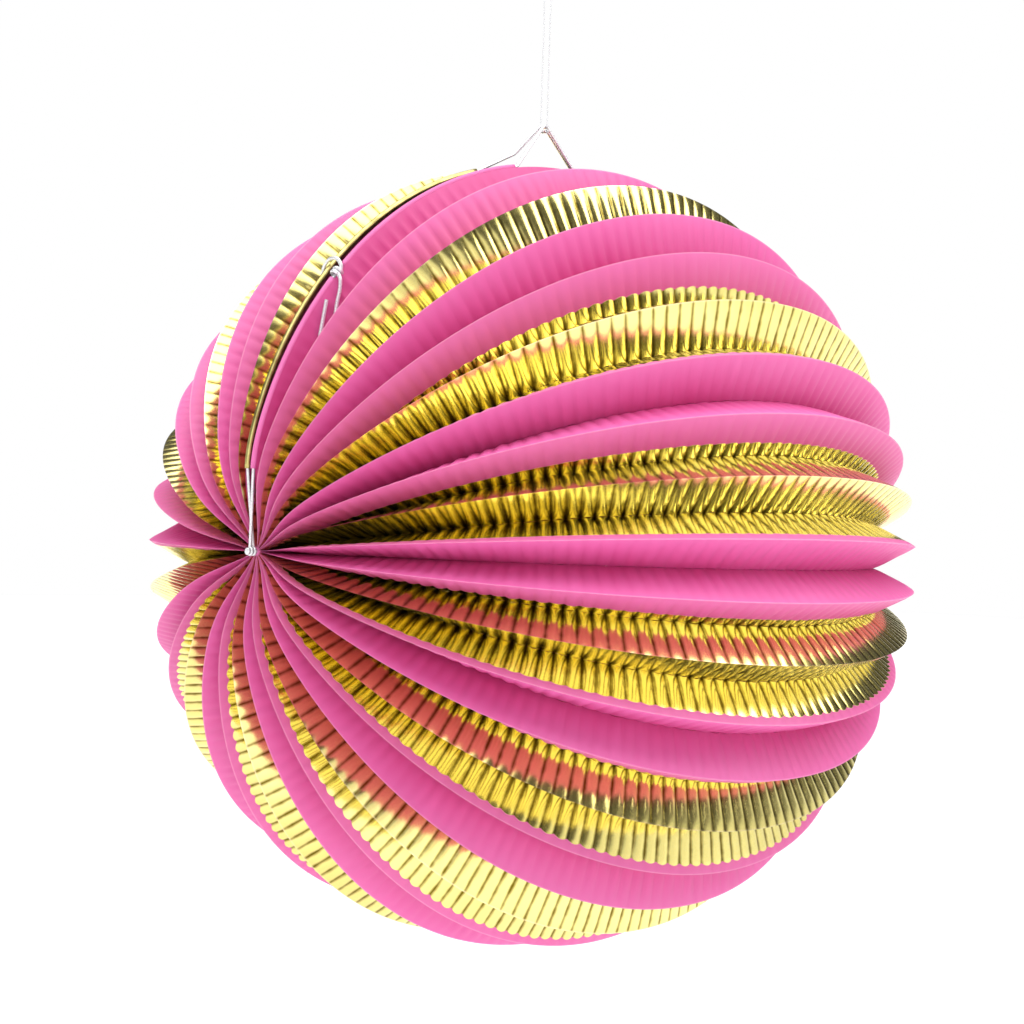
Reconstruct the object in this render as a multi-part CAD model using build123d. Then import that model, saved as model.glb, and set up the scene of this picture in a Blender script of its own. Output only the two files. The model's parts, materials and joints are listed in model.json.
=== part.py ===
from build123d import *
import os
from math import asin, cos, degrees, exp, pi, radians, sin, sqrt, tan

# Accordion paper ball lantern, hung from a thread. Millimetres, +Z up.
#
# The origin is the top of the wire hanger, where the thread holds the lantern. The ball's centre
# is straight below it. The fold axis runs along X through both poles: the near pole is at -X, the
# far pole at +X. Every fold of the paper is an arc from pole to pole, and the lantern opens by
# fanning the folds round that axis, until its two free edges meet in a seam under the hanger.
# Angles about the axis are in degrees from straight up, and grow towards +Y. The near half of
# the seam is on the -Y side, and the folds are counted from it, down the front and up the back.

# The ball
ball_radius = 125.0  # from the fold axis to the outer folds, at the middle
outline_half_length = 120.0  # half the ball's length along the axis, by its outline
pole_dimple = 7.5  # how far each pole is drawn in below that outline
dimple_reach = 18.0  # distance from the axis over which the dimple fades
hanger_height = 13.0  # from the seam up to the top of the hanger
centre_height = -(ball_radius + hanger_height)

# The paper
last_edge = 36  # the free edges are outer folds 0 and 36
first_edge_angle = -1.5
seam_spread = 1.25  # least distance of a free edge from the middle plane, near the poles
open_turn = 357.0  # from free edge to free edge, when open
uneven_spread = (6.4, 3.3, -4.3)  # how far the pleats stray from an even fan, by sine waves
face_width = 16.0  # of one face, from outer fold to inner fold
thick_paper = 0.30
thin_paper = 0.20  # where the folds are pinched together at the poles
valley_gap = 0.08  # half the gap between one pleat and the next, at the inner folds
pinch_radius = 4.5  # distance from the axis where the pleats end
stations = 30  # cross-sections along each pleat

# The hems of the two free edges, folded round the bow wires
hem_radius = 1.0
hem_flap = 3.0
hem_start_radius = 25.0  # nearer to the axis than this the wire runs bare
hem_stations = 25

# The bow wires
wire_radius = 0.5
wire_stations = 36  # points along the route of each bow wire
pole_eye_radius = 0.95  # centreline of the eye at each end
near_eye_x = 114.8
far_eye_x = 113.6
near_hanger = ((-14.5, 123.1), (10.5, 123.5))  # feet, as (x, distance from the axis)
far_hanger = ((-24.5, 121.5), (-9.6, 128.0), (16.2, 124.3), (25.0, 121.4))
hanger_bend = 1.3  # radius of the bend at the top
hanger_reach = ball_radius + hanger_height - wire_radius
apex_spacing = 0.56  # each wire's distance from the middle plane at the top
knee_bend = 3.0
near_hanger_corner = 0.65  # how far above the bend's middle its legs would meet, were it sharp
far_hanger_corner = 0.50
wire_foot_room = 0.028  # polar angle left clear beside each foot of the hanger

# The poles
hub_radius = 4.0
hub_outer_x = 112.2
hub_inner_x = 97.0
pin_radius = 0.38
pin_hole_radius = 0.45
pin_head_radius = 1.1
pin_head_x = 115.4
pin_head_thickness = 0.8

# The seam clasps, one towards each pole
clasp_x = 87.0
clasp_wire_radius = 0.6
clasp_eye_radius = 1.35
clasp_eye_spacing = 0.7  # each eye's distance from the clasp's middle, along the bow wire
clasp_notch = (5.2, 6.0, 6.8)  # room in the near hem: along the wire, across the seam, in depth
hook_route = ((-1.35, 0.0), (-1.35, 1.9), (0.6, 4.0), (4.2, 4.0), (6.9, 1.6), (8.4, -5.6))
tie_route = ((88.2, 1.3), (90.2, 3.3), (92.5, 4.6), (97.0, 8.0), (99.5, 9.0), (100.5, 6.0), (93.7, 1.6))
tie_lift = 1.1  # of the tie's centreline, off the face that it lies along

# The thread
thread_radius = 0.2
knot_radius = 0.8
knot_half_length = 1.9
thread_rise = (
    (-1.50, -2.2), (-1.38, 8.0), (-1.52, 18.0), (-1.36, 27.0), (-1.45, 34.0),
    (-1.60, 39.5), (-1.72, 43.5), (-1.80, 46.2), (-1.36, 48.0),
)
thread_top = (0.0, 48.8)


def place(x, distance, angle):
    """The point at x, this far from the fold axis, at an angle in degrees from straight up."""
    turn = radians(angle)
    return Vector(x, distance * sin(turn), centre_height + distance * cos(turn))


def edge_angle(index):
    """Angle of an outer fold. Whole numbers are outer folds, halves are the inner ones."""
    low = int(index)
    if index != low:
        return (edge_angle(low) + edge_angle(low + 1)) / 2
    share = index / last_edge
    waves = sum(size * sin(n * pi * share) for n, size in enumerate(uneven_spread, 1))
    return first_edge_angle - open_turn * share + waves


def seam_angle(side, distance):
    """Angle of a free edge this far from the axis: side is 1 at the near edge, -1 at the far edge."""
    half_gap = sqrt((distance * sin(radians(first_edge_angle))) ** 2 + seam_spread**2)
    return -side * degrees(asin(half_gap / distance))


def outline(polar):
    """(x, distance from the axis) of an outer fold, by the polar angle from the near pole."""
    distance = ball_radius * sin(polar)
    dimple = pole_dimple * exp(-((distance / dimple_reach) ** 2))
    return -(outline_half_length - dimple) * cos(polar), distance


def below_outline(polar, depth):
    """(x, distance from the axis) of the point this deep under the outline, square to it."""
    step = 1e-4
    x0, d0 = outline(polar - step)
    x1, d1 = outline(polar + step)
    length = sqrt((x1 - x0) ** 2 + (d1 - d0) ** 2)
    x, distance = outline(polar)
    return x + depth * (d1 - d0) / length, distance - depth * (x1 - x0) / length


def polar_at_x(x):
    """Polar angle of the outline at this x, away from the dimples."""
    return pi / 2 + asin(x / outline_half_length)


def polar_steps(start_radius, count):
    """Polar angles from pole to pole, closer together near the poles."""
    start = asin(start_radius / ball_radius)
    shares = [n / (count - 1) for n in range(count)]
    eased = [s - 0.6 * sin(2 * pi * s) / (2 * pi) for s in shares]
    return [start + (pi - 2 * start) * share for share in eased]


def fold_depth(polar, pitch):
    """How deep the inner fold lies, for faces of the same width all the way along."""
    half_step = 2 * outline(polar)[1] * sin(radians(pitch) / 4)
    return sqrt(face_width**2 - half_step**2)


def paper_thickness(polar):
    growth = (outline(polar)[1] - pinch_radius) * 0.02
    return min(thick_paper, thin_paper + growth)


def inner_fold(index, polar, side):
    """A point of the inner fold beside outer fold index, on the side of the next (1) or last (-1)."""
    pitch = abs(edge_angle(index + side) - edge_angle(index))
    x, distance = below_outline(polar, fold_depth(polar, pitch))
    gap = degrees(valley_gap / distance)
    return place(x, distance, edge_angle(index + side / 2) + side * gap)


def ribbon(points, thickness):
    """The closed outline of a sheet whose outer side is the given 2-D line, turning to the right."""
    normals = []
    for (ax, ay), (bx, by) in zip(points, points[1:]):
        length = sqrt((bx - ax) ** 2 + (by - ay) ** 2)
        normals.append(((by - ay) / length, (ax - bx) / length))
    inner = []
    for n, (x, y) in enumerate(points):
        ax, ay = normals[max(n - 1, 0)]
        bx, by = normals[min(n, len(normals) - 1)]
        scale = thickness / (1 + ax * bx + ay * by)
        inner.append((x + scale * (ax + bx), y + scale * (ay + by)))
    return list(points) + inner[::-1]


def section(points, thickness, plane):
    """A closed 3-D wire of a sheet's cross-section, drawn on a plane."""
    corners = [plane.from_local_coords((x, y, 0)) for x, y in ribbon(points, thickness)]
    return Wire.make_polygon(corners, close=True)


def pleat(index):
    """One full pleat: two faces meeting at outer fold index."""
    sections = []
    for polar in polar_steps(pinch_radius, stations):
        ridge = place(*outline(polar), edge_angle(index))
        left = inner_fold(index, polar, 1)
        right = inner_fold(index, polar, -1)
        across = right - left
        plane = Plane(ridge, x_dir=across, z_dir=across.cross(ridge - left))
        flat = [tuple(plane.to_local_coords(p))[:2] for p in (left, ridge, right)]
        sections.append(section(flat, paper_thickness(polar), plane))
    return Solid.make_loft(sections)


def hem_line(valley):
    """2-D line of a free edge's paper: up one face, round the hem and down its flap.

    The hem's outermost point is at (0, 0), and valley is the inner fold.
    """
    vx, vy = valley
    cy = -hem_radius
    reach = sqrt(vx**2 + (vy - cy) ** 2)
    lean = asin(hem_radius / reach)
    dx, dy = -vx / reach, (cy - vy) / reach
    ux, uy = dx * cos(lean) - dy * sin(lean), dx * sin(lean) + dy * cos(lean)
    points = [valley]
    for n in range(9):
        turn = n * pi / 8
        out_x, out_y = -uy * cos(turn) + ux * sin(turn), ux * cos(turn) + uy * sin(turn)
        points.append((hem_radius * out_x, cy + hem_radius * out_y))
    x, y = points[-1]
    points.append((x - hem_flap * ux, y - hem_flap * uy))
    return points


def edge_panel(index, side):
    """A free edge's face and hem. side is 1 at the near edge and -1 at the far edge."""
    sections = []
    for polar in polar_steps(hem_start_radius, hem_stations):
        x, distance = outline(polar)
        angle = seam_angle(side, distance)
        edge = place(x, distance, angle)
        valley = inner_fold(index, polar, side)
        to_seam = (place(0, 1, angle + 90) - place(0, 0, 0)) * side
        plane = Plane(edge, x_dir=to_seam, z_dir=to_seam.cross(edge - valley))
        flat = tuple(plane.to_local_coords(valley))[:2]
        sections.append(section(hem_line(flat), thick_paper, plane))
    return Solid.make_loft(sections)


def hanger_notch(start_x, end_x):
    """The length of hem cut away at the hanger, where the bow wire leaves it."""
    depth = 2 * hem_radius + 0.5
    top = centre_height + ball_radius + 2
    bottom = centre_height + outline(polar_at_x(max(abs(start_x), abs(end_x))))[1] - depth
    middle = Vector((start_x + end_x) / 2, 0, (top + bottom) / 2)
    return Pos(middle) * Box(end_x - start_x, 12, top - bottom)


def hem_centre(polar, side):
    """A point on the centreline of a free edge's hem, where its bow wire runs."""
    x, distance = below_outline(polar, hem_radius)
    return place(x, distance, seam_angle(side, distance))


def clasp_frame(sign):
    """Plane on the near bow wire at a clasp: x along the wire, z square out of the ball."""
    polar = polar_at_x(sign * clasp_x)
    here = hem_centre(polar, 1)
    along = hem_centre(polar + 1e-3, 1) - here
    return Plane(here, x_dir=along, z_dir=along.cross(Vector(0, 1, 0)))


def clasp_cut(sign):
    """The gap in the near hem that leaves room for a clasp's eyes."""
    return clasp_frame(sign).location * Pos(0, 0, 0.8) * Box(*clasp_notch)


def bend_radii(points):
    """One radius for each corner of a wire's route, as large as its two runs allow."""
    radii = []
    for a, b, c in zip(points, points[1:], points[2:]):
        turn = (b - a).get_angle(c - b)
        shorter = min((b - a).length, (c - b).length)
        radii.append(0.45 * shorter / tan(radians(turn) / 2))
    return radii


def round_wire(points, radii, radius):
    """A round wire along runs joined by tangent arcs."""
    path = FilletPolyline(*points, radius=radii)
    start = Plane(path @ 0, z_dir=path % 0)
    return sweep(start * Circle(radius), path=path)


def bow_wire(side, hanger, corner_rise, eye_x):
    """A bow wire from its eye at one pole, through its hem and the hanger, to the other pole."""
    polars = polar_steps(hem_start_radius, wire_stations)
    left = [hem_centre(p, side) for p in polars if p < polar_at_x(hanger[0][0]) - wire_foot_room]
    right = [hem_centre(p, side) for p in polars if p > polar_at_x(hanger[-1][0]) + wire_foot_room]
    corner = hanger_reach + corner_rise
    crown = []
    for x, distance in hanger:
        share = max(0.0, (distance - ball_radius) / (corner - ball_radius))
        crown.append(place(x, distance, seam_angle(side, distance) * (1 - share)))
    top = Vector(0, -side * apex_spacing, centre_height + corner)
    crown.insert(len(crown) // 2, top)
    ends = [place(sign * eye_x, pole_eye_radius, 0) for sign in (-1, 1)]
    points = [ends[0], *left, *crown, *right, ends[1]]
    radii = bend_radii(points)
    for n, point in enumerate(points[1:-1]):
        if point == top:
            radii[n] = hanger_bend
        elif point in crown:
            radii[n] = min(radii[n], knee_bend)
    wire = round_wire(points, radii, wire_radius)
    eyes = [
        Plane((sign * eye_x, 0, centre_height), z_dir=(1, 0, 0)).location
        * Torus(pole_eye_radius, wire_radius)
        for sign in (-1, 1)
    ]
    return wire + eyes[0] + eyes[1]


def pole_hub(sign):
    """The pinched core that the pleats' ends are gathered round."""
    start = Plane((sign * hub_inner_x, 0, centre_height), z_dir=(sign, 0, 0))
    length = hub_outer_x - hub_inner_x
    blank = extrude(start * Circle(hub_radius), length)
    return blank - extrude(start * Circle(pin_hole_radius), length)


def pole_pin(sign):
    """The pin through a hub and the eyes of both bow wires, with a round head."""
    start = Plane((sign * hub_inner_x, 0, centre_height), z_dir=(sign, 0, 0))
    seat = start.offset(pin_head_x - hub_inner_x)
    head = extrude(seat * Circle(pin_head_radius), pin_head_thickness)
    head = fillet(head.edges().group_by(Axis.X)[-1 if sign > 0 else 0], 0.4)
    return extrude(start * Circle(pin_radius), pin_head_x - hub_inner_x) + head


def clasp_eye(centre, frame):
    """An eye round the bow wire where a clasp or its tie is hung."""
    return Plane(centre, z_dir=frame.x_dir).location * Torus(clasp_eye_radius, clasp_wire_radius)


def clasp_hook(sign):
    """A hook on the near bow wire that crosses the seam and drops behind the far hem."""
    frame = clasp_frame(sign)
    centre = frame.from_local_coords((-sign * clasp_eye_spacing, 0, 0))
    points = [centre + Vector(0, y, z) for y, z in hook_route]
    return round_wire(points, bend_radii(points), clasp_wire_radius) + clasp_eye(centre, frame)


def beside_near_face(x, depth):
    """A point in the first groove, this deep below the near hem and just off its face."""
    polar = polar_at_x(x)
    top = hem_centre(polar, 1) - Vector(0, hem_radius, 0)
    along = hem_centre(polar + 1e-3, 1) - hem_centre(polar, 1)
    down = (inner_fold(0, polar, 1) - top).normalized()
    return top + down * depth + down.cross(along).normalized() * tie_lift


def clasp_tie(sign):
    """The tie beside a clasp: a hairpin of wire down in the first groove, with its tail upwards."""
    frame = clasp_frame(sign)
    centre = frame.from_local_coords((sign * clasp_eye_spacing, 0, 0))
    start = centre - Vector(0, clasp_eye_radius, 0)
    points = [start, *(beside_near_face(sign * x, depth) for x, depth in tie_route)]
    return round_wire(points, bend_radii(points), clasp_wire_radius) + clasp_eye(centre, frame)


def thread():
    """The thread: up from its knot, over in a small loop, and down again to the knot."""
    rise = [Vector(0, y, z) for y, z in thread_rise]
    fall = [Vector(0, -y, z) for y, z in thread_rise[::-1]]
    points = [*rise, Vector(0, *thread_top), *fall]
    radii = bend_radii(points)
    print("thread bend radii:", [round(r, 1) for r in radii])
    return round_wire(points, radii, thread_radius)


def thread_knot():
    """The knot that ties the thread round both wires, just under the hanger's bends."""
    middle = -2 * wire_radius - knot_radius - 0.4
    start = Plane((0, -knot_half_length, middle), z_dir=(0, 1, 0))
    bar = extrude(start * Circle(knot_radius), 2 * knot_half_length)
    return fillet(bar.edges().filter_by(GeomType.CIRCLE), knot_radius * 0.6)


def main():
    os.makedirs("parts", exist_ok=True)
    near_panel = edge_panel(0, 1)
    near_panel -= hanger_notch(near_hanger[0][0] - 1.2, near_hanger[-1][0] + 1.2)
    for sign in (-1, 1):
        near_panel -= clasp_cut(sign)
    far_panel = edge_panel(last_edge, -1)
    far_panel -= hanger_notch(far_hanger[0][0] - 1.2, far_hanger[-1][0] + 1.2)
    pieces = {
        "near_edge_panel": near_panel,
        "far_edge_panel": far_panel,
        "near_bow_wire": bow_wire(1, near_hanger, near_hanger_corner, near_eye_x),
        "far_bow_wire": bow_wire(-1, far_hanger, far_hanger_corner, far_eye_x),
        "thread": thread(),
        "thread_knot": thread_knot(),
    }
    for index in range(1, last_edge):
        pieces[f"pleat_{index:02d}"] = pleat(index)
    for name, sign in (("near", -1), ("far", 1)):
        pieces[f"{name}_pole_hub"] = pole_hub(sign)
        pieces[f"{name}_pole_pin"] = pole_pin(sign)
        pieces[f"{name}_clasp_hook"] = clasp_hook(sign)
        pieces[f"{name}_clasp_tie"] = clasp_tie(sign)
    for name, piece in pieces.items():
        export_step(piece, f"parts/{name}.step")


main()
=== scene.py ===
import json
from math import asin, cos, pi, radians, sin

import bpy
import numpy as np
from mathutils import Matrix, Vector


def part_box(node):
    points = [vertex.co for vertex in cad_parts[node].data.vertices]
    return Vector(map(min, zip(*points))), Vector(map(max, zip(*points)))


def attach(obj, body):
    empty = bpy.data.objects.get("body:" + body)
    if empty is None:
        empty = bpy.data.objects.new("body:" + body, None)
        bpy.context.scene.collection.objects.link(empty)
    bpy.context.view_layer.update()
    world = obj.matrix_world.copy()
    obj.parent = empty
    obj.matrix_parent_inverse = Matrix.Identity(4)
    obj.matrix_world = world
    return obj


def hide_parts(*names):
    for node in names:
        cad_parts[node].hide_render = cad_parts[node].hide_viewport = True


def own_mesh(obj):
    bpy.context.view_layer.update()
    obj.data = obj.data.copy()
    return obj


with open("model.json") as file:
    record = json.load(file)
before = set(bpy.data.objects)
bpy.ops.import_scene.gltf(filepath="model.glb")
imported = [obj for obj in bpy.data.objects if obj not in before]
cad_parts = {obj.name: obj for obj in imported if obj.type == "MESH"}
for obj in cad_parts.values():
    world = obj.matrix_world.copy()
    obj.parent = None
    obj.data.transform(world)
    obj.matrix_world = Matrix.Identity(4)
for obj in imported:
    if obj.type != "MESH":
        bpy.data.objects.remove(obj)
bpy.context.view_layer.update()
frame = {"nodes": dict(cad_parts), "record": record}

COUPLINGS = {c["joint"]: c["ratio"] for c in frame["record"]["behaviour"]["couplings"]}
MM = 0.001

# The ball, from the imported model
HUB_LOW, HUB_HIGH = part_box("near_pole_hub")
AXIS_HEIGHT = (HUB_LOW[2] + HUB_HIGH[2]) / 2
BALL_RADIUS = AXIS_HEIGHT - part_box("pleat_19")[0][2]
OUTLINE_HALF_LENGTH = 0.96 * BALL_RADIUS
POLE_DIMPLE = 0.06 * BALL_RADIUS
DIMPLE_REACH = 0.144 * BALL_RADIUS

# The paper
LAST_EDGE = 36
FIRST_EDGE_ANGLE = -1.5
OPEN_TURN = 357.0
SEAM_SPREAD = 1.25 * MM
FACE_WIDTH = 16 * MM
OUTLINE_SAMPLES = 4000  # points along an outer fold, from which its length is found
HEM_RADIUS = 1.0 * MM
HEM_TUBE_RADIUS = 0.98 * HEM_RADIUS
HEM_START = 25 * MM  # distance from the axis at which the hems begin
HEM_ROWS_PER_RADIAN = 60
EDGE_FACE_START = 8 * MM
PINCH_RADIUS = 1.4 * MM  # distance from the axis at which the visible pleats end
CORE_RADIUS = 1.15 * PINCH_RADIUS
RIB_PITCH = 4.8 * MM
RIB_SAMPLES = 6  # mesh rows in each rib
FACE_SAMPLES = 7  # mesh columns across each face
RIB_BY_RIDGE = 0.28 * MM  # height of the ribs just below an outer fold
RIB_AT_VALLEY = 0.75 * MM
RIBS_START = 0.14  # share of the face over which the ribs rise from the smooth outer fold
RIBS_FADE = 22 * MM  # the ribs die away nearer to the axis than this
RIBS_FADE_POWER = 1.5
RIB_STRENGTHS = (0.75, 1.25)  # each rib's height is a share of the full one, drawn from this range

# Stretches without a hem, in millimetres of x: at the clasps and at the hanger's feet
NEAR_HEM_GAPS = ((-88.7, -85.3), (-15.7, 11.7), (85.3, 88.7))
FAR_HEM_GAPS = ((-25.7, 26.2),)

# Where the stripe's edges fall on the faces, in shares of a face from its outer fold
PINK_PAST_FOLD = 0.20
GOLD_SHORT_OF_FOLD = 0.68
STRIPE_WOBBLE = 0.7 * MM  # how far the stripe's edge wanders at each rib
STRIPE_BLUR = 0.25 * MM

# How deep in its groove's painted shade a free edge's face is coloured, where it meets its hem
EDGE_FACE_SHADE = 0.75

# Colours and finishes
PINK = (0.70, 0.105, 0.35)
# painted shade: the pink darkens towards each inner fold, where the groove lies in shade
PINK_SHADED = (0.54, 0.018, 0.17)
PINK_PALE = (0.76, 0.20, 0.46)
# painted highlight: a paler pink line along each outer fold
PINK_FOLD_HIGHLIGHT = (0.84, 0.38, 0.58)
GOLD = (0.90, 0.80, 0.33)
GOLD_WARM = (0.87, 0.72, 0.20)
# painted shade: the near-black of the foil where its creases and grooves lie in shade
GOLD_SHADED = (0.16, 0.11, 0.01)
# painted highlight: a paler gold line along each outer fold
GOLD_FOLD_HIGHLIGHT = (0.95, 0.80, 0.45)
WIRE_DARK = (0.62, 0.62, 0.64)
WIRE_LIGHT = (0.88, 0.88, 0.90)
FLOOR_DULL = (0.90, 0.90, 0.90)
FLOOR_BRIGHT = (0.93, 0.93, 0.93)
NYLON_DULL = (0.86, 0.87, 0.90)
NYLON_BRIGHT = (0.97, 0.97, 0.98)
FOIL_ROUGHNESS = 0.20
FOIL_ROUGHNESS_SPREAD = 0.12
PAPER_ROUGHNESS = 0.55
GRAIN_BUMP = 0.12
GRAIN_HEIGHT = 0.1 * MM

# Noise cells to the metre
PAPER_GRAIN = 900.0
PAPER_CLOUDS = 22.0
PLAIN_PAPER_CLOUDS = 60.0
# painted shade in the far hem's foil creases
HEM_FOIL_SHADED_CREASES = 300.0
# painted reflections: streaks of brighter and darker foil
FOIL_SHEEN_STREAKS = 260.0
WIRE_GRAIN = 2500.0
NYLON_GRAIN = 1500.0
FLOOR_CLOUDS = 0.6

# How much of each paler colour and of each painted fold highlight shows, and how fast the painted
# highlight fades away from an outer fold
PINK_CLOUDING = 0.5
PINK_HIGHLIGHT_STRENGTH = 0.55
GOLD_HIGHLIGHT_STRENGTH = 0.7
HIGHLIGHT_FALL = 28.0  # per face width

# How bright the foil is painted: the ribs' crests and the streaks add painted highlights and
# reflections, and the depth takes some away as painted shade
FOIL_CREST_GAIN = 1.6
FOIL_SHEEN_STREAK_GAIN = 1.2
FOIL_DEPTH_LOSS = 0.25
FOIL_DARKNESS = 0.50

# The thread's route at x = 0, in millimetres: (along Y, height above the hanger's top)
THREAD_RISE = (
    (-1.50, -2.2), (-1.38, 8.0), (-1.52, 18.0), (-1.36, 27.0), (-1.45, 34.0),
    (-1.60, 39.5), (-1.72, 43.5), (-1.80, 46.2), (-1.36, 48.0),
)
THREAD_TOP = (0.0, 48.8)
THREAD_DIAMETER = 0.4 * MM

# The camera: angles in degrees, and the lens and sensor in millimetres
CAMERA_AZIMUTH = -42.7
CAMERA_ELEVATION = 1.0
CAMERA_ROLL = 1.76
CAMERA_DISTANCE = 10 * BALL_RADIUS
CAMERA_LENS = 137.1
CAMERA_SENSOR = 36
CAMERA_SHIFT = (-0.0183, 0.0424)

# The studio: (share of the height from straight down to straight up, brightness)
STUDIO_LEVELS = (
    (0.0, 0.8), (0.42, 1.0), (0.585, 1.0), (0.62, 0.06), (0.84, 0.12), (0.90, 2.8), (1.0, 3.6),
)
FLOOR_SIZE = 8.0
FLOOR_DROP = 2.6 * BALL_RADIUS
KEY_LIGHT = {"position": (0.9, -1.1, 0.9), "size": 1.0, "power": 12}
FILL_LIGHT = {"position": (-1.4, -0.6, 0.5), "size": 1.2, "power": 6}


def place(x, distance, angle):
    """Points at x, this far from the fold axis, at an angle in degrees from straight up."""
    turn = np.radians(angle)
    y = distance * np.sin(turn)
    return np.stack(np.broadcast_arrays(x, y, AXIS_HEIGHT + distance * np.cos(turn)), axis=-1)


def edge_angle(index):
    """Angle of an outer fold. Whole numbers are outer folds, halves are the inner ones."""
    low = int(index)
    if index != low:
        return (edge_angle(low) + edge_angle(low + 1)) / 2
    if low in (0, LAST_EDGE):
        return FIRST_EDGE_ANGLE - OPEN_TURN * low / LAST_EDGE
    return FIRST_EDGE_ANGLE - OPEN_TURN * COUPLINGS[f"pleat_{low:02d}_turn"]


def outline(polar):
    """(x, distance from the axis) of an outer fold, by the polar angle from the near pole."""
    distance = BALL_RADIUS * np.sin(polar)
    dimple = POLE_DIMPLE * np.exp(-((distance / DIMPLE_REACH) ** 2))
    return -(OUTLINE_HALF_LENGTH - dimple) * np.cos(polar), distance


def slope(polar):
    """Unit direction of the outline, as (along x, away from the axis)."""
    step = 1e-4
    x0, d0 = outline(polar - step)
    x1, d1 = outline(polar + step)
    length = np.hypot(x1 - x0, d1 - d0)
    return (x1 - x0) / length, (d1 - d0) / length


def below_outline(polar, depth):
    """(x, distance from the axis) this deep under the outline, square to it."""
    x, distance = outline(polar)
    along_x, along_d = slope(polar)
    return x + depth * along_d, distance - depth * along_x


def fold_depth(polar, pitch):
    """How deep the inner fold lies, for faces of the same width all the way along."""
    half_step = 2 * outline(polar)[1] * np.sin(np.radians(pitch) / 4)
    return np.sqrt(FACE_WIDTH**2 - half_step**2)


def rib_rows(start_radius):
    """Polar angles of the mesh rows, evenly spaced along the paper, and their rib counts."""
    start = asin(start_radius / BALL_RADIUS)
    fine = np.linspace(start, pi - start, OUTLINE_SAMPLES)
    x, distance = outline(fine)
    run = np.concatenate([[0], np.cumsum(np.hypot(np.diff(x), np.diff(distance)))])
    ribs = round(run[-1] / RIB_PITCH)
    rows = np.arange(ribs * RIB_SAMPLES + 1)
    polar = np.interp(rows / rows[-1] * run[-1], run, fine)
    return polar, rows / RIB_SAMPLES


def seam_angle(side, distance):
    """Angle of a free edge: side is 1 at the near edge and -1 at the far edge."""
    half_gap = np.sqrt((distance * sin(radians(FIRST_EDGE_ANGLE))) ** 2 + SEAM_SPREAD**2)
    return -side * np.degrees(np.arcsin(half_gap / distance))


def unit(vectors):
    """The same directions at length 1."""
    return vectors / np.linalg.norm(vectors, axis=-1, keepdims=True)


def face_grid(ridge, valley, outward, polar, ribs, facing, seed):
    """One crimped face as a grid of points: a row for each polar angle, from ridge to valley.

    The ribs stand up on the side that the direction facing points to.
    """
    share = np.linspace(0, 1, FACE_SAMPLES + 1)[None, :, None]
    flat = ridge[:, None] * (1 - share) + valley[:, None] * share
    along = np.gradient(ridge, axis=0)
    normal = unit(np.cross(along, valley - ridge))
    normal *= np.sign((normal * facing).sum(-1, keepdims=True))
    lean = np.sin(pi * share)
    lift = unit(normal[:, None] * lean + outward[:, None] * (1 - lean))
    rng = np.random.default_rng(seed)
    strength = rng.uniform(*RIB_STRENGTHS, int(ribs[-1]) + 2)
    height = np.abs(np.sin(pi * ribs)) * strength[np.minimum(ribs.astype(int), len(strength) - 1)]
    fade = np.clip(outline(polar)[1] / RIBS_FADE, 0, 1) ** RIBS_FADE_POWER
    rise = np.minimum(share[..., 0] / RIBS_START, 1)
    size = rise * (RIB_BY_RIDGE + (RIB_AT_VALLEY - RIB_BY_RIDGE) * share[..., 0])
    bulge = (height * fade)[:, None] * size
    return flat + lift * bulge[..., None]


def gold_reach(index, side, share):
    """How far past the stripe's edge a point is, in metres: above 0 is gold, below 0 is pink.

    side is 1 on the face towards the next outer fold, and -1 on the one towards the last.
    """
    kind = index % 3
    if kind == 2:
        return np.full_like(share, FACE_WIDTH)
    if kind == 0 and side == -1:
        return (share - PINK_PAST_FOLD) * FACE_WIDTH
    if kind == 1 and side == 1:
        return (share - GOLD_SHORT_OF_FOLD) * FACE_WIDTH
    return np.full_like(share, -FACE_WIDTH)


def grid_mesh(name, points, attributes, material):
    """A smooth mesh object from a grid of points, with one value per point in each attribute."""
    rows, columns = points.shape[:2]
    corner = np.arange(rows * columns).reshape(rows, columns)
    quads = np.stack(
        [corner[:-1, :-1], corner[:-1, 1:], corner[1:, 1:], corner[1:, :-1]], axis=-1
    ).reshape(-1, 4)
    mesh = bpy.data.meshes.new(name)
    mesh.from_pydata(points.reshape(-1, 3).tolist(), [], quads.tolist())
    for key, values in attributes.items():
        layer = mesh.attributes.new(key, "FLOAT", "POINT")
        layer.data.foreach_set("value", values.astype(np.float32).ravel())
    mesh.polygons.foreach_set("use_smooth", np.ones(len(quads), bool))
    mesh.materials.append(material)
    piece = bpy.data.objects.new(name, mesh)
    bpy.context.scene.collection.objects.link(piece)
    return piece


def crease(mesh, column, columns):
    """Keep the fold line along one column of a grid sharp."""
    count = len(mesh.vertices) // columns
    on_fold = set(range(column, count * columns, columns))
    for edge in mesh.edges:
        if edge.vertices[0] in on_fold and edge.vertices[1] in on_fold:
            edge.use_edge_sharp = True


def fold_lines(index, polar, side):
    """The ridge and the valley of one face, and the outward direction along it."""
    ridge = place(*outline(polar), edge_angle(index))
    pitch = abs(edge_angle(index + side) - edge_angle(index))
    valley_angle = edge_angle(index + side / 2)
    valley = place(*below_outline(polar, fold_depth(polar, pitch)), valley_angle)
    along_x, along_d = slope(polar)
    middle = (edge_angle(index) + valley_angle) / 2
    outward = place(-along_d, along_x, middle) - place(0 * along_x, 0, middle)
    return ridge, valley, outward


def tangent(angle):
    """Unit direction round the axis at an angle, towards growing angles."""
    turn = radians(angle)
    return np.array([0.0, cos(turn), -sin(turn)])


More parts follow.
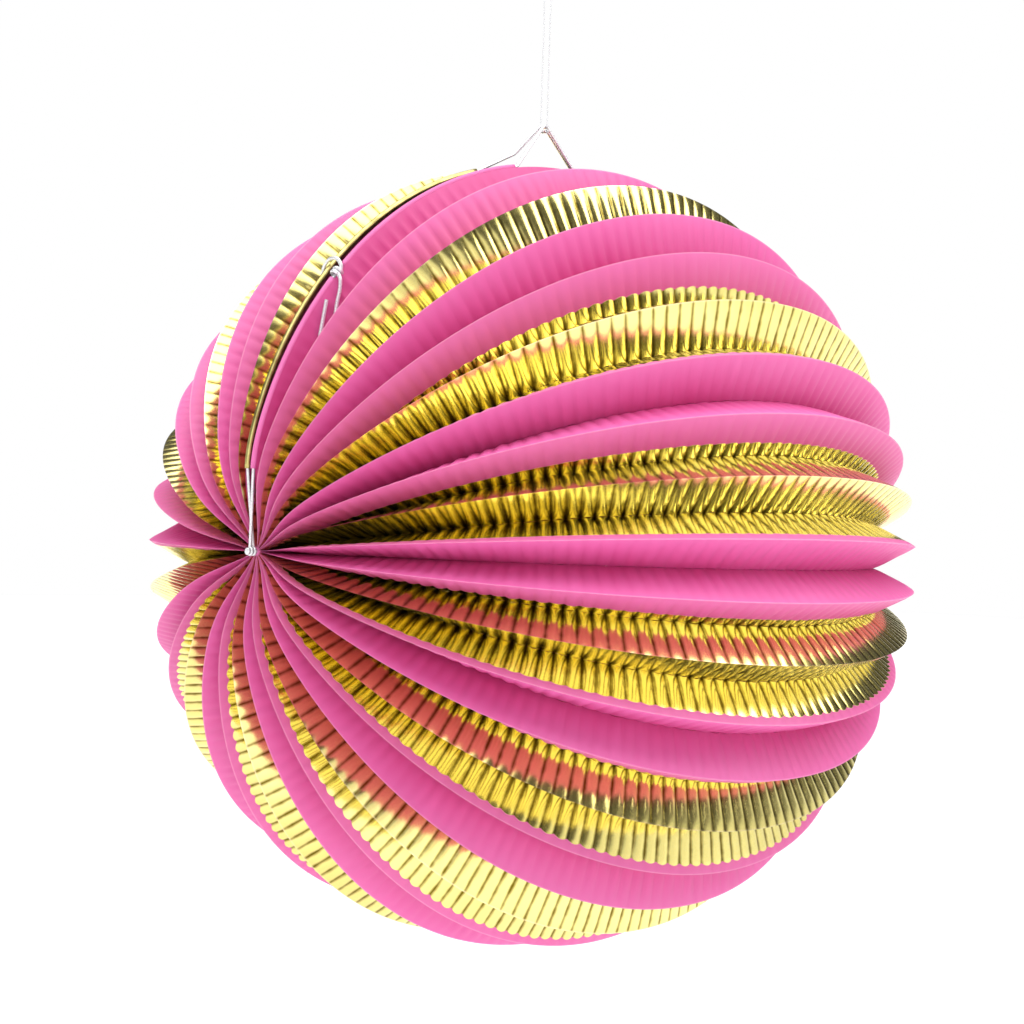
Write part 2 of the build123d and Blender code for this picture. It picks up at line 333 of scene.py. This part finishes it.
def make_pleat(index, material):
    """The visible sheet of one full pleat, which turns with its pleat as the lantern folds."""
    polar, ribs = rib_rows(PINCH_RADIUS)
    share = np.linspace(0, 1, FACE_SAMPLES + 1)
    halves, reach = [], []
    for side in (1, -1):
        ridge, valley, outward = fold_lines(index, polar, side)
        facing = -side * tangent(edge_angle(index))
        halves.append(face_grid(ridge, valley, outward, polar, ribs, facing, index))
        reach.append(gold_reach(index, side, share))
    points = np.concatenate([halves[0][:, ::-1], halves[1][:, 1:]], axis=1)
    columns = points.shape[1]
    across = np.concatenate([reach[0][::-1], reach[1][1:]])
    depth = np.concatenate([share[::-1], share[1:]])
    attributes = {
        "gold_reach": np.tile(across, (len(polar), 1)),
        "depth": np.tile(depth, (len(polar), 1)),
        "rib": np.repeat(ribs[:, None], columns, axis=1),
    }
    node = f"pleat_{index:02d}"
    piece = grid_mesh(f"{node}_paper", points, attributes, material)
    crease(piece.data, FACE_SAMPLES, columns)
    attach(piece, f"{node}_fold")
    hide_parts(node)
    tuple(tangent(edge_angle(index)))
    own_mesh(piece)


def make_edge_face(side, material):
    """The face between a free edge's hem and the first inner fold."""
    index = 0 if side == 1 else LAST_EDGE
    name = "near" if side == 1 else "far"
    polar, ribs = rib_rows(EDGE_FACE_START)
    x, distance = below_outline(polar, HEM_RADIUS)
    beside_hem = seam_angle(side, distance) - side * np.degrees(HEM_RADIUS / distance)
    edge = place(x, distance, beside_hem)
    _, valley, outward = fold_lines(index, polar, side)
    facing = side * tangent(0)
    points = face_grid(edge, valley, outward, polar, ribs, facing, 100 + side)
    share = np.linspace(0, 1, FACE_SAMPLES + 1)
    # painted shade: the free edge's face is coloured as if deep in its groove
    depth = EDGE_FACE_SHADE + (1 - EDGE_FACE_SHADE) * share
    attributes = {
        "gold_reach": np.tile(gold_reach(index, side, share), (len(polar), 1)),
        "depth": np.tile(depth, (len(polar), 1)),
        "rib": np.repeat(ribs[:, None], len(share), axis=1),
    }
    piece = grid_mesh(f"{name}_edge_face", points, attributes, material)
    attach(piece, f"{name}_end")
    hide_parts(f"{name}_edge_panel")
    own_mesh(piece)


def new_material(name, **settings):
    """A Principled material with these constant sockets, and its node tree and shader."""
    material = bpy.data.materials.new(name)
    material.use_nodes = True
    tree = material.node_tree
    shader = tree.nodes["Principled BSDF"]
    for key, value in settings.items():
        shader.inputs[key.replace("_", " ")].default_value = value
    return material, tree, shader


def math_node(tree, operation, a, b=None, c=None, clamp=False):
    """The output of a math node, whose inputs are numbers or other nodes' outputs."""
    node = tree.nodes.new("ShaderNodeMath")
    node.operation = operation
    node.use_clamp = clamp
    for socket, value in zip(node.inputs, (a, b, c)):
        if value is None:
            continue
        if isinstance(value, (int, float)):
            socket.default_value = value
        else:
            tree.links.new(value, socket)
    return node.outputs[0]


def mix_colour(tree, factor, a, b):
    """The output of a mix of two colours: all a where the factor is 0, all b where it is 1."""
    node = tree.nodes.new("ShaderNodeMix")
    node.data_type = "RGBA"
    tree.links.new(factor, node.inputs["Factor"])
    for socket, value in ((node.inputs[6], a), (node.inputs[7], b)):
        if isinstance(value, tuple):
            socket.default_value = (*value, 1)
        else:
            tree.links.new(value, socket)
    return node.outputs[2]


def attribute(tree, name):
    """The mesh attribute of this name."""
    node = tree.nodes.new("ShaderNodeAttribute")
    node.attribute_name = name
    return node.outputs["Fac"]


def noise(tree, scale, detail=3.0):
    """Noise with this many cells to the metre, in the piece's own coordinates."""
    coordinates = tree.nodes.new("ShaderNodeTexCoord")
    node = tree.nodes.new("ShaderNodeTexNoise")
    node.inputs["Scale"].default_value = scale
    node.inputs["Detail"].default_value = detail
    tree.links.new(coordinates.outputs["Object"], node.inputs["Vector"])
    return node.outputs["Fac"]


def plain_paper():
    """The pink paper of the near hem and the gathered cores."""
    material, tree, shader = new_material("plain_paper", Roughness=PAPER_ROUGHNESS)
    cloud = noise(tree, PLAIN_PAPER_CLOUDS)
    tree.links.new(mix_colour(tree, cloud, PINK, PINK_PALE), shader.inputs["Base Color"])
    return material


def hem_foil():
    """The gold foil of the far hem, with painted shade in its creases."""
    material, tree, shader = new_material("hem_foil", Metallic=1.0, Roughness=0.35)
    cloud = noise(tree, HEM_FOIL_SHADED_CREASES)
    tree.links.new(mix_colour(tree, cloud, GOLD_SHADED, GOLD), shader.inputs["Base Color"])
    return material


def crimped_foil(tree, crest, depth, fold, cloud):
    """Colour of the gold foil: painted highlights on the ribs, painted shade in the creases and
    deeper in the groove, and a painted highlight along the outer folds.
    """
    # painted highlights and reflections on the rib crests and streaks, painted shade deeper in the
    # groove
    sheen_streaks = noise(tree, FOIL_SHEEN_STREAKS)
    level = math_node(tree, "MULTIPLY_ADD", sheen_streaks, FOIL_SHEEN_STREAK_GAIN, -FOIL_DARKNESS)
    level = math_node(tree, "MULTIPLY_ADD", depth, -FOIL_DEPTH_LOSS, level)
    lit = math_node(tree, "MULTIPLY_ADD", crest, FOIL_CREST_GAIN, level, clamp=True)
    foil = mix_colour(tree, cloud, GOLD, GOLD_WARM)
    foil = mix_colour(tree, lit, GOLD_SHADED, foil)
    return mix_colour(tree, math_node(tree, "MULTIPLY", fold, GOLD_HIGHLIGHT_STRENGTH), foil, GOLD_FOLD_HIGHLIGHT)


def striped_paper():
    """Crimped paper, pink on one part of its stripe and gold foil on the other."""
    material, tree, shader = new_material("striped_paper")
    rib = math_node(tree, "FRACT", attribute(tree, "rib"))
    crest = math_node(tree, "SINE", math_node(tree, "MULTIPLY", rib, pi))
    wobble = math_node(tree, "MULTIPLY", math_node(tree, "SUBTRACT", crest, 0.5), STRIPE_WOBBLE)
    reach = math_node(tree, "ADD", attribute(tree, "gold_reach"), wobble)
    gold = math_node(tree, "MULTIPLY_ADD", reach, 1 / STRIPE_BLUR, 0.5, clamp=True)
    depth = attribute(tree, "depth")
    # painted highlight: strongest on the outer fold, gone a short way across the face
    fold = math_node(tree, "MULTIPLY_ADD", depth, -HIGHLIGHT_FALL, 1.0, clamp=True)
    grain = noise(tree, PAPER_GRAIN)
    cloud = noise(tree, PAPER_CLOUDS)
    # painted shade: darker pink from the outer fold down to the inner fold
    pink = mix_colour(tree, depth, PINK, PINK_SHADED)
    pink = mix_colour(tree, math_node(tree, "MULTIPLY", cloud, PINK_CLOUDING), pink, PINK_PALE)
    pink = mix_colour(tree, math_node(tree, "MULTIPLY", fold, PINK_HIGHLIGHT_STRENGTH), pink, PINK_FOLD_HIGHLIGHT)
    foil = crimped_foil(tree, crest, depth, fold, cloud)
    tree.links.new(mix_colour(tree, gold, pink, foil), shader.inputs["Base Color"])
    tree.links.new(gold, shader.inputs["Metallic"])
    least = FOIL_ROUGHNESS - FOIL_ROUGHNESS_SPREAD / 2
    foil_rough = math_node(tree, "MULTIPLY_ADD", grain, FOIL_ROUGHNESS_SPREAD, least)
    change = math_node(tree, "SUBTRACT", foil_rough, PAPER_ROUGHNESS)
    rough = math_node(tree, "MULTIPLY_ADD", gold, change, PAPER_ROUGHNESS)
    tree.links.new(rough, shader.inputs["Roughness"])
    bump = tree.nodes.new("ShaderNodeBump")
    bump.inputs["Strength"].default_value = GRAIN_BUMP
    bump.inputs["Distance"].default_value = GRAIN_HEIGHT
    tree.links.new(grain, bump.inputs["Height"])
    tree.links.new(bump.outputs["Normal"], shader.inputs["Normal"])
    return material


def wire_metal():
    """The bright steel of the bow wires, clasps, ties and pins."""
    material, tree, shader = new_material("bright_wire", Metallic=0.5)
    grain = noise(tree, WIRE_GRAIN)
    tree.links.new(mix_colour(tree, grain, WIRE_DARK, WIRE_LIGHT), shader.inputs["Base Color"])
    tree.links.new(math_node(tree, "MULTIPLY_ADD", grain, 0.2, 0.2), shader.inputs["Roughness"])
    return material


def clear_nylon():
    """The clear nylon of the thread and its knot."""
    settings = {"Transmission_Weight": 0.85, "IOR": 1.5, "Roughness": 0.15}
    material, tree, shader = new_material("clear_nylon", **settings)
    grain = noise(tree, NYLON_GRAIN)
    colour = mix_colour(tree, grain, NYLON_DULL, NYLON_BRIGHT)
    tree.links.new(colour, shader.inputs["Base Color"])
    return material


def floor_paint():
    """The dull white of the studio floor."""
    material, tree, shader = new_material("pale_floor", Roughness=0.9)
    cloud = noise(tree, FLOOR_CLOUDS)
    colour = mix_colour(tree, cloud, FLOOR_DULL, FLOOR_BRIGHT)
    tree.links.new(colour, shader.inputs["Base Color"])
    return material


def tube_mesh(name, path, radius, material, sides=10):
    """A closed round tube along a list of points, with frames carried along it."""
    points = np.array(path)
    along = unit(np.gradient(points, axis=0))
    across = np.zeros_like(points)
    aslant = [0.3, 1.0, 0.2]  # any direction that no tube starts in
    side = unit(np.cross(along[0], aslant))
    for n, direction in enumerate(along):
        side = unit(side - direction * (side @ direction))
        across[n] = side
    other = np.cross(along, across)
    turn = np.linspace(0, 2 * pi, sides, endpoint=False)
    out_across = across[:, None] * np.cos(turn)[None, :, None]
    out_other = other[:, None] * np.sin(turn)[None, :, None]
    rings = points[:, None] + radius * (out_across + out_other)
    count = len(points)
    corner = np.arange(count * sides).reshape(count, sides)
    beside = np.roll(corner, -1, axis=1)
    quads = np.stack([corner[:-1], beside[:-1], beside[1:], corner[1:]], axis=-1)
    quads = quads.reshape(-1, 4).tolist()
    quads.append(corner[0][::-1].tolist())
    quads.append(corner[-1].tolist())
    mesh = bpy.data.meshes.new(name)
    mesh.from_pydata(rings.reshape(-1, 3).tolist(), [], quads)
    mesh.polygons.foreach_set("use_smooth", np.ones(len(quads), bool))
    mesh.materials.append(material)
    piece = bpy.data.objects.new(name, mesh)
    bpy.context.scene.collection.objects.link(piece)
    return piece


def make_hems(side, gaps, material):
    """The rolled hem round a bow wire, in the stretches between its gaps."""
    name = "near" if side == 1 else "far"
    first = asin(HEM_START / BALL_RADIUS)
    cuts = [pi / 2 + asin(x * MM / OUTLINE_HALF_LENGTH) for gap in gaps for x in gap]
    ends = [first, *cuts, pi - first]
    for part, (start, end) in enumerate(zip(ends[::2], ends[1::2])):
        polar = np.linspace(start, end, 8 + int((end - start) * HEM_ROWS_PER_RADIAN))
        x, distance = below_outline(polar, HEM_RADIUS)
        path = place(x, distance, seam_angle(side, distance))
        piece = tube_mesh(f"{name}_hem_{part + 1}", path, HEM_TUBE_RADIUS, material, sides=12)
        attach(piece, f"{name}_end")


def make_core(name, material):
    """The gathered ends of the pleats at one pole, in place of its plain hub."""
    low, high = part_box(f"{name}_pole_hub")
    path = [(x, 0, AXIS_HEIGHT) for x in np.linspace(low[0], high[0], 12)]
    piece = tube_mesh(f"{name}_pole_core", path, CORE_RADIUS, material, sides=24)
    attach(piece, "near_end")
    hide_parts(f"{name}_pole_hub")


def make_thread(material):
    """The thread: up from its knot, over in a small loop, and down again to the knot."""
    fall = tuple((-y, z) for y, z in THREAD_RISE[::-1])
    route = [(0, y * MM, z * MM, 1) for y, z in (*THREAD_RISE, THREAD_TOP, *fall)]
    curve = bpy.data.curves.new("thread_line", "CURVE")
    curve.dimensions = "3D"
    spline = curve.splines.new("NURBS")
    spline.points.add(len(route) - 1)
    for point, position in zip(spline.points, route):
        point.co = position
    spline.order_u = 3
    spline.use_endpoint_u = True
    curve.resolution_u = 12
    curve.bevel_depth = THREAD_DIAMETER / 2
    curve.bevel_resolution = 3
    curve.use_fill_caps = True
    curve.materials.append(material)
    piece = bpy.data.objects.new("thread_line", curve)
    bpy.context.scene.collection.objects.link(piece)
    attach(piece, "near_end")
    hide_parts("thread")


def make_camera():
    """The camera, nearly level with the ball's centre and aimed at it."""
    azimuth, elevation = radians(CAMERA_AZIMUTH), radians(CAMERA_ELEVATION)
    level = cos(elevation)
    back = Vector((sin(azimuth) * level, -cos(azimuth) * level, sin(elevation)))
    right = Vector((cos(azimuth), sin(azimuth), 0))
    up = back.cross(right)
    turned = Matrix((right, up, back)).transposed().to_4x4()
    rolled = Matrix.Rotation(radians(CAMERA_ROLL), 4, "Z")
    data = bpy.data.cameras.new("camera")
    data.lens = CAMERA_LENS
    data.sensor_width = CAMERA_SENSOR
    data.shift_x, data.shift_y = CAMERA_SHIFT
    data.clip_end = 100
    camera = bpy.data.objects.new("camera", data)
    centre = Vector((0, 0, AXIS_HEIGHT))
    camera.matrix_world = Matrix.Translation(centre + back * CAMERA_DISTANCE) @ turned @ rolled
    bpy.context.scene.collection.objects.link(camera)
    bpy.context.scene.camera = camera


def make_light(name, position, size, power):
    """A soft square light that faces the ball's centre."""
    data = bpy.data.lights.new(name, "AREA")
    data.size = size
    data.energy = power
    light = bpy.data.objects.new(name, data)
    light.location = position
    aim = Vector((0, 0, AXIS_HEIGHT)) - Vector(position)
    light.rotation_euler = aim.to_track_quat("-Z", "Y").to_euler()
    bpy.context.scene.collection.objects.link(light)


def make_stage(material):
    """The pale floor, well below the ball."""
    corners = [(-1, -1), (1, -1), (1, 1), (-1, 1)]
    mesh = bpy.data.meshes.new("floor")
    height = AXIS_HEIGHT - FLOOR_DROP
    points = [(x * FLOOR_SIZE, y * FLOOR_SIZE, height) for x, y in corners]
    mesh.from_pydata(points, [], [(0, 1, 2, 3)])
    mesh.materials.append(material)
    floor = bpy.data.objects.new("floor", mesh)
    bpy.context.scene.collection.objects.link(floor)


def make_studio():
    """White surroundings up to eye level, dark above them, and a bright panel overhead."""
    world = bpy.data.worlds.new("studio")
    world.use_nodes = True
    tree = world.node_tree
    background = tree.nodes["Background"]
    coordinates = tree.nodes.new("ShaderNodeTexCoord")
    split = tree.nodes.new("ShaderNodeSeparateXYZ")
    tree.links.new(coordinates.outputs["Generated"], split.inputs[0])
    ramp = tree.nodes.new("ShaderNodeValToRGB")
    elements = ramp.color_ramp.elements
    while len(elements) < len(STUDIO_LEVELS):
        elements.new(0.5)
    for element, (share, level) in zip(elements, STUDIO_LEVELS):
        element.position = share
        element.color = (level, level, level, 1)
    height = math_node(tree, "MULTIPLY_ADD", split.outputs["Z"], 0.5, 0.5)
    tree.links.new(height, ramp.inputs["Fac"])
    tree.links.new(ramp.outputs["Color"], background.inputs["Color"])
    background.inputs["Strength"].default_value = 1.0
    bpy.context.scene.world = world
    bpy.context.scene.view_settings.view_transform = "Standard"


def paint(node, material):
    """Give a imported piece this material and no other."""
    node.data.materials.clear()
    node.data.materials.append(material)


def main():
    """Build the camera, the visible pieces, the floor and the lights."""
    make_camera()
    nylon = clear_nylon()
    make_thread(nylon)
    paper = striped_paper()
    for index in range(1, LAST_EDGE):
        make_pleat(index, paper)
    for side in (1, -1):
        make_edge_face(side, paper)
    plain = plain_paper()
    make_hems(1, NEAR_HEM_GAPS, plain)
    make_hems(-1, FAR_HEM_GAPS, hem_foil())
    make_core("near", plain)
    make_core("far", plain)
    wire = wire_metal()
    for name, node in frame["nodes"].items():
        if name.endswith(("wire", "pin", "hook", "tie")):
            paint(node, wire)
    paint(frame["nodes"]["thread_knot"], nylon)
    make_stage(floor_paint())
    make_studio()
    make_light("key", **KEY_LIGHT)
    make_light("fill", **FILL_LIGHT)


main()
